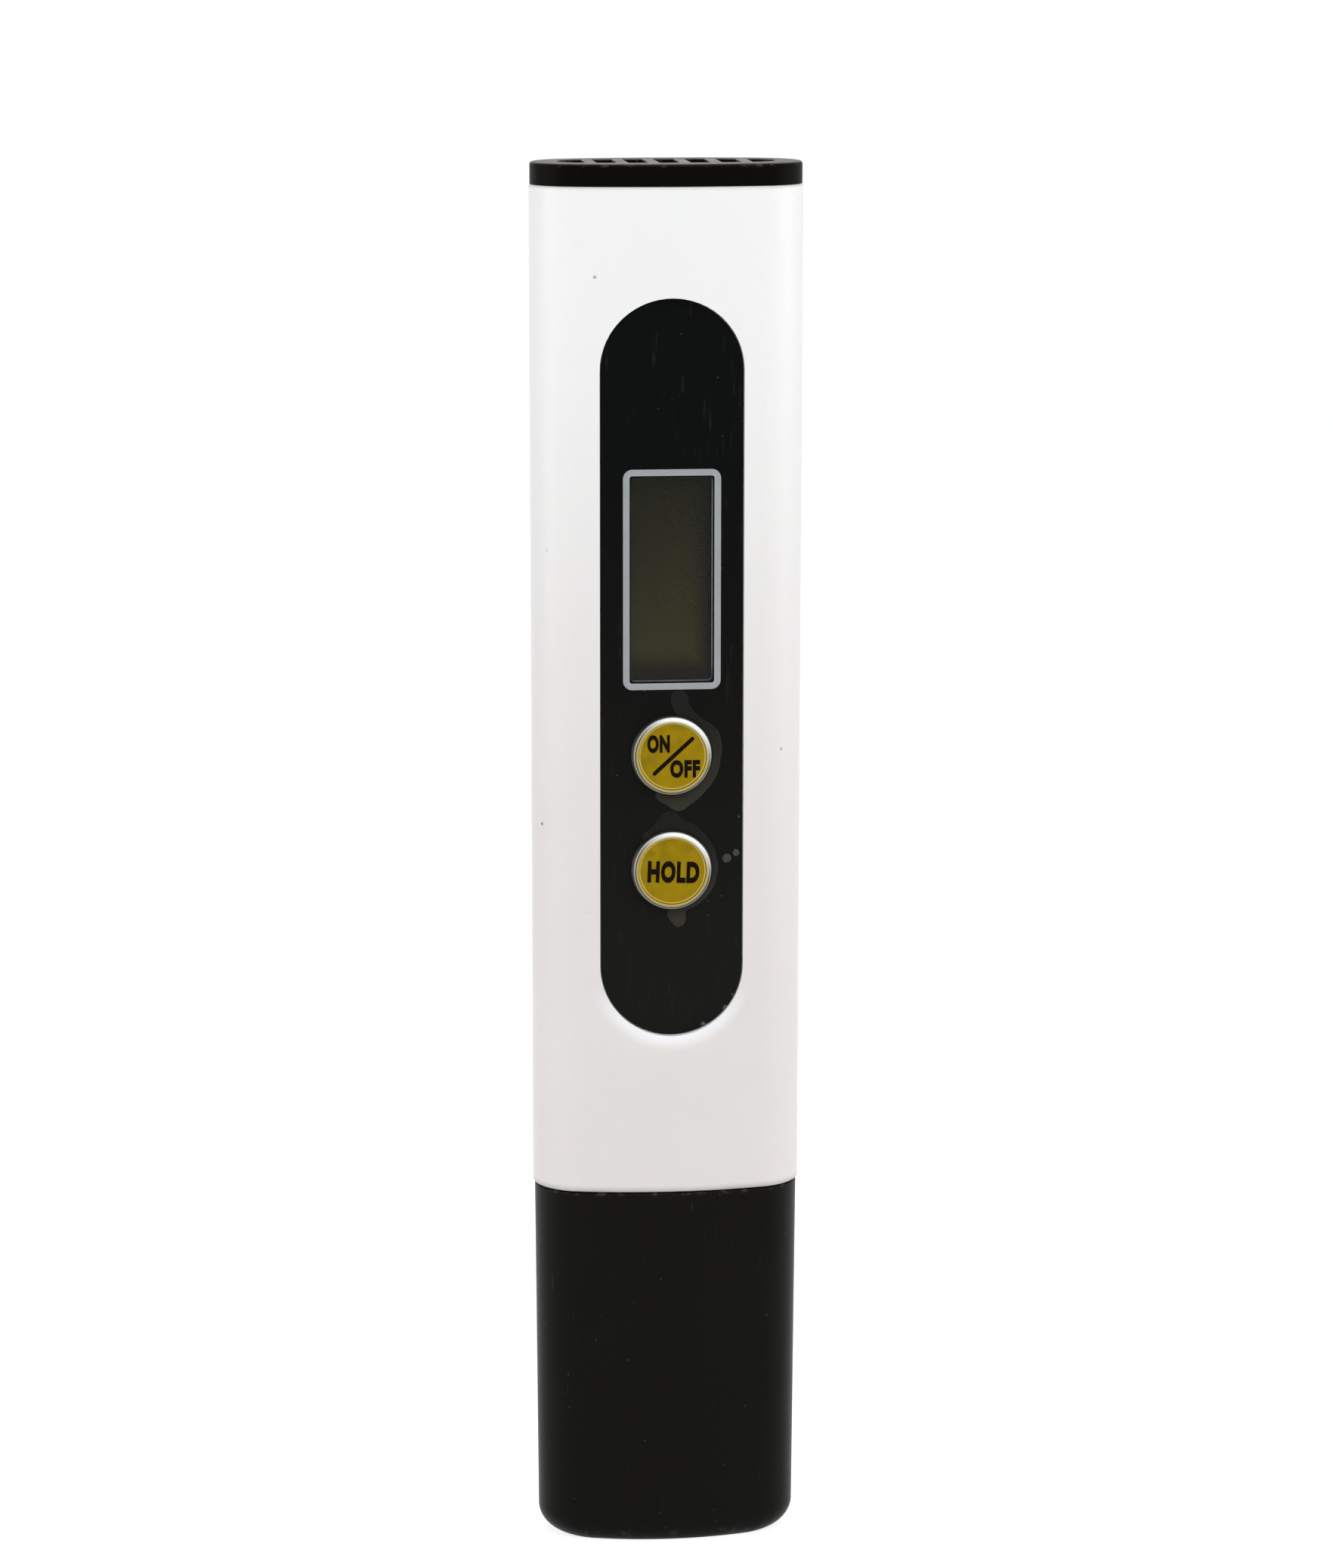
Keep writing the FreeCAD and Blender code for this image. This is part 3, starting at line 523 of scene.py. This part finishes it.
def plastic_finish(name, dark, light, size=6.0, roughness=0.5, grain=0.3, depth=0.012, specular=0.3):
    """Moulded plastic or resin: cloudy colour, dull patches and a fine skin."""
    f = Finish(name)
    clouds = f.noise(size, 4)
    colour = f.mix(clouds, tint(*dark), tint(*light))
    marks = f.noise(grain, 2, (1, 1, 6)).step(0.6, 0.8)
    colour = f.mix(marks * 0.2, colour, tint(*light))
    return f.set(colour=colour, roughness=roughness + 0.12 * clouds + 0.06 * marks,
                 specular=specular, normal=f.bump(f.noise(grain, 3) + 0.3 * marks, depth))


def metal_finish(name, dark, light, roughness=0.28, stretch=(1, 1, 12)):
    """Bare metal with fine drawn lines and a breath of tarnish."""
    f = Finish(name)
    lines = f.noise(0.12, 3, stretch)
    clouds = f.noise(3, 4)
    colour = f.mix(lines, tint(*dark), tint(*light))
    colour = f.mix(clouds.step(0.55, 0.8) * 0.35, colour, tint(120, 104, 80))
    return f.set(colour=colour, metallic=0.9 + 0.1 * lines,
                 roughness=roughness + 0.16 * lines + 0.1 * clouds, normal=f.bump(lines, 0.005))


def screw_finish():
    """Turned brass, with painted shade in the depth of its slot."""
    f = Finish("screw_brass")
    face_y = box("trimmer_screw")[1].y
    turning = f.reach(0, middle("trimmer_screw").z).rings(45)
    clouds = f.noise(0.8, 3)
    # painted shade in the depth of the slot
    slot_shade = f.y.step(face_y - 0.1, face_y - 0.4)
    colour = f.mix(clouds, tint(176, 138, 66), tint(222, 186, 108))
    colour = f.mix(slot_shade * 0.9, colour, tint(30, 22, 12))
    return f.set(colour=colour, metallic=0.95 - 0.7 * slot_shade, roughness=0.27 + 0.15 * clouds,
                 normal=f.bump(turning + clouds, 0.004))


def cell_finish():
    """Nickel-plated cells: turned faces, and a dark ring where the seal shows."""
    f = Finish("cell_steel")
    reach = f.reach(0, middle("battery_front").z)
    turning = reach.rings(22)
    clouds = f.noise(2.4, 4)
    colour = f.mix(clouds, tint(176, 176, 172), tint(212, 212, 208))
    inner, outer = SEAL_RADII
    seal = reach.step(inner - 0.15, inner) * reach.step(outer + 0.15, outer)
    colour = f.mix(seal * 0.8, colour, tint(46, 44, 42))
    return f.set(colour=colour, metallic=0.95 - 0.6 * seal,
                 roughness=0.24 + 0.12 * clouds + 0.02 * turning,
                 normal=f.bump(turning + clouds, 0.004))


def board_finish():
    """Green solder mask over copper runs, with tinned pads and woven cloth in the laminate."""
    f = Finish("circuit_board")
    clouds = f.noise(5, 3)
    colour = f.mix(clouds, tint(12, 74, 42), tint(20, 96, 54))
    weave = f.x.cell(WEAVE_PITCH).step(0.1, 0.16) * f.z.cell(WEAVE_PITCH).step(0.1, 0.16)
    colour = f.mix(weave * 0.15, colour, tint(8, 52, 30))
    runs = (f.x + f.noise(9, 1) * 6).cell(RUN_PITCH).step(0.16, 0.12)
    colour = f.mix(runs * 0.5, colour, tint(44, 128, 74))
    pads = f.x.cell(PAD_PITCH).step(0.5, 0.42) * f.z.cell(PAD_PITCH).step(0.4, 0.32)
    pads = pads * (abs(f.x) - PADS_FROM_MIDDLE).step(0, 0.3)
    colour = f.mix(pads, colour, tint(190, 190, 184))
    return f.set(colour=colour, metallic=0.8 * pads, roughness=0.3 + 0.16 * clouds,
                 normal=f.bump(runs + weave * 0.4, 0.02))


def chip_finish(name, body, column, length):
    """Small chips: ceramic middles between tinned ends, on the board's even pitch."""
    f = Finish(name)
    top_chip_z = box(column)[1].z - length / 2
    from_chip = (f.z - top_chip_z).cell(CHIP_PITCH)
    ends = from_chip.step(length / 2 - CHIP_END, length / 2 - CHIP_END + 0.06)
    clouds = f.noise(0.5, 3)
    colour = f.mix(clouds, tint(*body), tint(*[value * 1.3 for value in body]))
    colour = f.mix(ends, colour, tint(196, 194, 188))
    return f.set(colour=colour, metallic=0.85 * ends, roughness=0.42 + 0.15 * clouds,
                 normal=f.bump(clouds, 0.01))


def strip_finish():
    """Contact rubber: thin black and pink layers up the strip."""
    f = Finish("contact_rubber")
    layers = f.z.cell(LAYER_PITCH).step(0.03, 0.06)
    clouds = f.noise(1.5, 3)
    colour = f.mix(layers, tint(34, 32, 32), tint(206, 150, 150))
    return f.set(colour=colour, roughness=0.6 + 0.2 * clouds, normal=f.bump(layers + clouds, 0.01))


def lead_finish(name, dark, light):
    """Soft insulation with a faint drag along the wire."""
    f = Finish(name)
    drag = f.noise(0.25, 3, (1, 1, 10))
    colour = f.mix(drag, tint(*dark), tint(*light))
    return f.set(colour=colour, roughness=0.4 + 0.2 * drag, sheen=0.1, normal=f.bump(drag, 0.01))


def film_finish(name, middle_z):
    """Clear protective film over the black panel, with a painted grey sheen that is paler where it has
    lifted lower down.
    """
    f = Finish(name)
    wrinkles = f.noise(1.1, 4)
    # painted sheen: grey, paler lower down where the film has lifted
    colour = f.mix((f.z - middle_z).step(6.5, -5), tint(34, 34, 32), tint(60, 58, 51))
    colour = f.mix(wrinkles * 0.3, colour, tint(38, 38, 35))
    return f.set(colour=colour, alpha=0.8 + 0.1 * wrinkles, roughness=0.4 + 0.16 * wrinkles,
                 specular=0.04, normal=f.bump(wrinkles, 0.004))


def bubble_finish():
    """Stretched clear film over a bubble, patchy where it clings, its pale patches a painted sheen."""
    f = Finish("film_bubble")
    skin_sheen = f.noise(0.3, 3)
    # pale patches are painted sheen on the lifted film
    colour = f.mix(skin_sheen.step(0.35, 0.65), tint(30, 30, 28), tint(74, 74, 69))
    return f.set(colour=colour, alpha=0.35 + 0.35 * skin_sheen, roughness=0.12 + 0.15 * skin_sheen, specular=0.6,
                 normal=f.bump(skin_sheen, 0.01))


def dress_nodes():
    """Gives every node of the frame its finish."""
    display_glass = display_glass_finish()
    steel = cell_finish()
    nickel = metal_finish("contact_nickel", (150, 148, 142), (205, 203, 196))
    titanium = metal_finish("probe_pin", (118, 117, 114), (176, 175, 170), roughness=0.3,
                            stretch=(12, 12, 1))
    strips = strip_finish()
    switch = plastic_finish("switch_black", (14, 14, 14), (34, 34, 33), size=3, roughness=0.45)
    plunger = plastic_finish("plunger_ivory", (196, 190, 172), (226, 220, 204), size=2, roughness=0.4)
    red = lead_finish("lead_red", (120, 12, 12), (172, 26, 22))
    finishes = {
        "housing": white_case_finish(),
        "face_panel": panel_film_finish(),
        "display_window": lens_finish(),
        "probe_cap": black_cap_finish("probe_cap_black", "probe_cap", specular=0.08,
                                      scuffed_foot=True),
        "battery_cap": black_cap_finish("battery_cap_black", "battery_cap", specular=0.03,
                                        worn_highlit_ribs=True),
        "battery_holder": plastic_finish("holder_black", (18, 18, 19), (40, 40, 40), size=5),
        "battery_front": steel,
        "battery_rear": steel,
        "battery_contact_front": nickel,
        "battery_contact_rear": nickel,
        "circuit_board": board_finish(),
        "lcd_front_glass": display_glass,
        "lcd_rear_glass": display_glass,
        "lcd_reflector": metal_finish("reflector", (150, 150, 142), (196, 196, 188), roughness=0.4,
                                      stretch=(1, 1, 1)),
        "lcd_frame": plastic_finish("frame_grey", (150, 150, 146), (178, 178, 172), size=4),
        "zebra_strip_left": strips,
        "zebra_strip_right": strips,
        "chip_blob": plastic_finish("blob_resin", (10, 10, 11), (30, 30, 30), size=2.5, roughness=0.18,
                                    grain=0.8, depth=0.03, specular=0.5),
        "chip_resistors": chip_finish("chip_resistor", (30, 30, 32), "chip_resistors",
                                      RESISTOR_LENGTH),
        "chip_capacitors": chip_finish("chip_capacitor", (150, 116, 82), "chip_capacitors",
                                       CAPACITOR_LENGTH),
        "trimmer_body": plastic_finish("trimmer_blue", (18, 62, 140), (32, 84, 172), size=3,
                                       roughness=0.42),
        "trimmer_screw": screw_finish(),
        "electrode_plug": plastic_finish("plug_black", (16, 16, 16), (38, 38, 37), size=3),
        "potting_seal": plastic_finish("potting_resin", (64, 56, 42), (96, 84, 62), size=3,
                                       roughness=0.16, grain=0.8, depth=0.03, specular=0.5),
        "electrode_left": titanium,
        "electrode_right": titanium,
        "electrode_lead_left": lead_finish("lead_black", (16, 16, 16), (40, 40, 40)),
        "electrode_lead_right": red,
        "temperature_sensor": plastic_finish("sensor_bead", (14, 14, 15), (40, 40, 42), size=1,
                                             roughness=0.25, grain=0.4, depth=0.02, specular=0.5),
        "temperature_leads": red,
    }
    for button, centre in button_places.items():
        finishes[button + "_button"] = silver_button_finish(button + "_button_silver", centre)
        finishes[button + "_button_disc"] = yellow_disc_finish(button + "_disc_yellow", centre)
        finishes[button + "_switch"] = switch
        finishes[button + "_switch_plunger"] = plunger
    for name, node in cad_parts.items():
        node.data.materials.clear()
        node.data.materials.append(finishes[name])


def add_object(mesh, finish, body):
    """Shows a mesh as a piece that rides on a body of the frame."""
    piece = bpy.data.objects.new(mesh.name, mesh)
    bpy.context.scene.collection.objects.link(piece)
    piece.data.materials.clear()
    piece.data.materials.append(finish)
    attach(piece, body)


def mesh_from_bmesh(name, made):
    """Mesh of what was made, whose working copy is then freed."""
    mesh = bpy.data.meshes.new(name)
    made.to_mesh(mesh)
    made.free()
    return mesh


def mesh_from_curve(curve):
    """Closed mesh of a flat curve, with its walls and faces joined."""
    holder = bpy.data.objects.new(curve.name + "_curve", curve)
    bpy.context.scene.collection.objects.link(holder)
    bpy.context.view_layer.update()
    shown = holder.evaluated_get(bpy.context.evaluated_depsgraph_get())
    mesh = bpy.data.meshes.new_from_object(shown)
    mesh.name = curve.name
    bpy.data.objects.remove(holder)
    bpy.data.curves.remove(curve)
    made = bmesh.new()
    made.from_mesh(mesh)
    bmesh.ops.remove_doubles(made, verts=made.verts, dist=WELD_GAP)
    bmesh.ops.recalc_face_normals(made, faces=made.faces)
    made.to_mesh(mesh)
    made.free()
    return mesh


def stand_up(mesh, centre, front_y, size=None, turn=0):
    """Turns a flat mesh to face the front, at that place, size and turn, and puts it in metres."""
    points = [vertex.co.copy() for vertex in mesh.vertices]
    low = Vector([min(point[axis] for point in points) for axis in range(3)])
    high = Vector([max(point[axis] for point in points) for axis in range(3)])
    scale = Vector((1, 1))
    shift = Vector((0, 0))
    if size:
        scale = Vector((size[0] / (high.x - low.x), size[1] / (high.y - low.y)))
        shift = ((low + high) / 2).xy
    rotation = Matrix.Rotation(math.radians(turn), 2)
    for vertex, point in zip(mesh.vertices, points):
        x, z = Vector(centre) + rotation @ ((point.xy - shift) * scale)
        vertex.co = (x * MM, (front_y + high.z - point.z) * MM, z * MM)


def flat_sheet(name, outlines, thickness, smooth=False):
    """Sheet bounded by closed outlines, the first outside and the rest holes, with soft edges."""
    curve = bpy.data.curves.new(name, "CURVE")
    curve.dimensions = "2D"
    curve.fill_mode = "BOTH"
    curve.extrude = thickness / 4
    curve.bevel_depth = thickness / 4
    curve.bevel_resolution = 1
    curve.resolution_u = OUTLINE_STEPS
    for outline in outlines:
        if smooth:
            spline = curve.splines.new("BEZIER")
            spline.bezier_points.add(len(outline) - 1)
            for knot, (x, y) in zip(spline.bezier_points, outline):
                knot.co = (x, y, 0)
                knot.handle_left_type = "AUTO"
                knot.handle_right_type = "AUTO"
        else:
            spline = curve.splines.new("POLY")
            spline.points.add(len(outline) - 1)
            for knot, (x, y) in zip(spline.points, outline):
                knot.co = (x, y, 0, 1)
        spline.use_cyclic_u = True
    return mesh_from_curve(curve)


def letters_mesh(name, letters):
    """Letters as thick as the ink."""
    curve = bpy.data.curves.new(name, "FONT")
    curve.body = letters
    curve.offset = LETTER_BOLDNESS
    curve.space_character = LETTER_SPACING
    curve.extrude = INK_THICKNESS / 2
    curve.resolution_u = LETTER_STEPS
    return mesh_from_curve(curve)


def arc_points(radius, start, end, steps=24):
    """Points along part of a circle about the middle, between two angles in degrees."""
    angles = [math.radians(start + (end - start) * step / steps) for step in range(steps + 1)]
    return [(radius * math.cos(angle), radius * math.sin(angle)) for angle in angles]


def rounded_outline(width, length, radius, steps=8):
    """Outline of a rectangle with rounded corners, about the middle."""
    points = []
    for corner, (side_x, side_y) in enumerate(((1, 1), (-1, 1), (-1, -1), (1, -1))):
        for x, y in arc_points(radius, 90 * corner, 90 * (corner + 1), steps):
            points.append((side_x * (width / 2 - radius) + x, side_y * (length / 2 - radius) + y))
    return points


def add_display_print():
    """Silver line printed on the panel round the display."""
    outer = rounded_outline(PRINT_HOLE_WIDTH + 2 * PRINT_LINE, PRINT_HOLE_LENGTH + 2 * PRINT_LINE,
                            PRINT_CORNER)
    inner = rounded_outline(PRINT_HOLE_WIDTH, PRINT_HOLE_LENGTH, PRINT_INNER_CORNER)
    mesh = flat_sheet("display_frame_print", [outer, inner], PRINT_THICKNESS)
    stand_up(mesh, (0, window_middle_z), panel_front - PRINT_THICKNESS)
    add_object(mesh, silver_print_finish(), "case")


def add_legends():
    """Generic legends printed on the discs."""
    ink = ink_finish()
    ink_front = {button: box(button + "_button_disc")[0].y - INK_THICKNESS for button in LEGENDS}
    for button, legends in LEGENDS.items():
        for name, letters, place, size, turn in legends:
            mesh = letters_mesh("legend_" + name, letters)
            stand_up(mesh, button_places[button] + Vector(place), ink_front[button], size, turn)
            add_object(mesh, ink, button + "_button_body")
    rotation = Matrix.Rotation(math.radians(SLASH_TURN), 2)
    stroke = [rotation @ Vector(point)
              for point in rounded_outline(SLASH_LENGTH, SLASH_WIDTH, SLASH_CORNER, steps=3)]
    mesh = flat_sheet("legend_slash", [stroke], INK_THICKNESS)
    stand_up(mesh, button_places["power"] + Vector((SLASH_SHIFT, 0)), ink_front["power"])
    add_object(mesh, ink, "power_button_body")


def add_film():
    """Pieces of protective film left on the panel round the buttons."""
    for button, edge in FILM_EDGES.items():
        film = film_finish(button + "_clear_film", button_places[button].y)
        arc = arc_points(FILM_INNER_RADIUS, *FILM_ARCS[button])
        mesh = flat_sheet(button + "_film", [edge + arc], FILM_THICKNESS, smooth=True)
        stand_up(mesh, button_places[button], panel_front - FILM_THICKNESS - FILM_LIFT)
        add_object(mesh, film, "case")


def add_bubbles():
    """Low round blisters where air is caught under the film."""
    finish = bubble_finish()
    foot_y = panel_front - FILM_LIFT
    for number, ((x, z), radius) in enumerate(BUBBLES, 1):
        rise = radius * BUBBLE_FLATNESS
        made = bmesh.new()
        rings = []
        for step in range(BUBBLE_RINGS):
            angle = math.pi / 2 * step / BUBBLE_RINGS
            y = foot_y - rise * math.sin(angle)
            circle = arc_points(radius * math.cos(angle), 0, 360, BUBBLE_SIDES)[:-1]
            rings.append([made.verts.new(((x + right) * MM, y * MM, (z + up) * MM))
                          for right, up in circle])
        top = made.verts.new((x * MM, (foot_y - rise) * MM, z * MM))
        sides = [(side, (side + 1) % BUBBLE_SIDES) for side in range(BUBBLE_SIDES)]
        for lower, upper in zip(rings, rings[1:]):
            for here, after in sides:
                made.faces.new((lower[here], lower[after], upper[after], upper[here]))
        for here, after in sides:
            made.faces.new((rings[-1][here], rings[-1][after], top))
        made.faces.new(rings[0][::-1])
        bmesh.ops.recalc_face_normals(made, faces=made.faces)
        mesh = mesh_from_bmesh(f"film_bubble_{number}", made)
        mesh.shade_smooth()
        add_object(mesh, finish, "case")


def add_floor():
    """Plain pale floor that shows white and keeps the soft shadow at the foot."""
    made = bmesh.new()
    bmesh.ops.create_grid(made, x_segments=FLOOR_SQUARES, y_segments=FLOOR_SQUARES, size=FLOOR_REACH)
    mesh = mesh_from_bmesh("floor", made)
    floor = bpy.data.objects.new("floor", mesh)
    bpy.context.scene.collection.objects.link(floor)
    f = Finish("floor_paper")
    soft = f.mix(f.noise(40, 3), tint(222, 222, 222), tint(230, 230, 230))
    f.set(colour=soft, roughness=0.9, specular=0.05)
    paper = Value(f, f.shader.outputs[0])
    grey = f.node("BsdfDiffuse", {}, {"Color": tint(160, 160, 160)})
    glow = f.node("Emission", {}, {"Color": WHITE, "Strength": FLOOR_GLOW})
    shown = f.node("AddShader", {}, {0: grey, 1: glow})
    surface = f.node("MixShader", {}, {0: f.sight(), 1: paper, 2: shown})
    f.feed(f.tree.nodes["Material Output"].inputs["Surface"], surface)
    mesh.materials.append(f.material)


def add_world():
    """Even soft room light behind which the background shows white."""
    world = bpy.data.worlds.new("studio")
    bpy.context.scene.world = world
    world.use_nodes = True
    room = Nodes(world.node_tree)
    tone = room.mix(room.sight(), ROOM_LIGHT, WHITE)
    room.feed(room.tree.nodes["Background"].inputs["Color"], tone)


def add_lamps():
    """Soft square lamps that point at the meter."""
    for name, place, aim, size, power in LAMPS:
        lamp = bpy.data.lights.new(name, "AREA")
        lamp.shape = "RECTANGLE"
        lamp.size, lamp.size_y = size
        lamp.energy = power
        holder = bpy.data.objects.new(name, lamp)
        holder.location = place
        holder.rotation_euler = (Vector(aim) - Vector(place)).to_track_quat("-Z", "Y").to_euler()
        bpy.context.scene.collection.objects.link(holder)


def add_camera():
    """Camera at the photograph's place, slightly above the meter and to its left."""
    data = bpy.data.cameras.new("camera")
    data.sensor_width = SENSOR
    data.lens = CAMERA_FOCUS / max(PHOTO_WIDTH, PHOTO_HEIGHT) * SENSOR
    data.shift_y = CAMERA_RISE
    data.clip_start = NEAREST_SEEN
    data.clip_end = FARTHEST_SEEN
    camera = bpy.data.objects.new("camera", data)
    camera.location = Vector(CAMERA_PLACE) * MM
    ahead = Vector((math.sin(CAMERA_YAW) * math.cos(CAMERA_PITCH),
                    math.cos(CAMERA_YAW) * math.cos(CAMERA_PITCH), -math.sin(CAMERA_PITCH)))
    turn = ahead.to_track_quat("-Z", "Y").to_matrix() @ Euler((0, 0, CAMERA_ROLL)).to_matrix()
    camera.rotation_euler = turn.to_euler()
    bpy.context.scene.collection.objects.link(camera)
    bpy.context.scene.camera = camera


bpy.context.scene.view_settings.view_transform = "Standard"
dress_nodes()
add_display_print()
add_legends()
add_film()
add_bubbles()
add_floor()
add_world()
add_lamps()
add_camera()
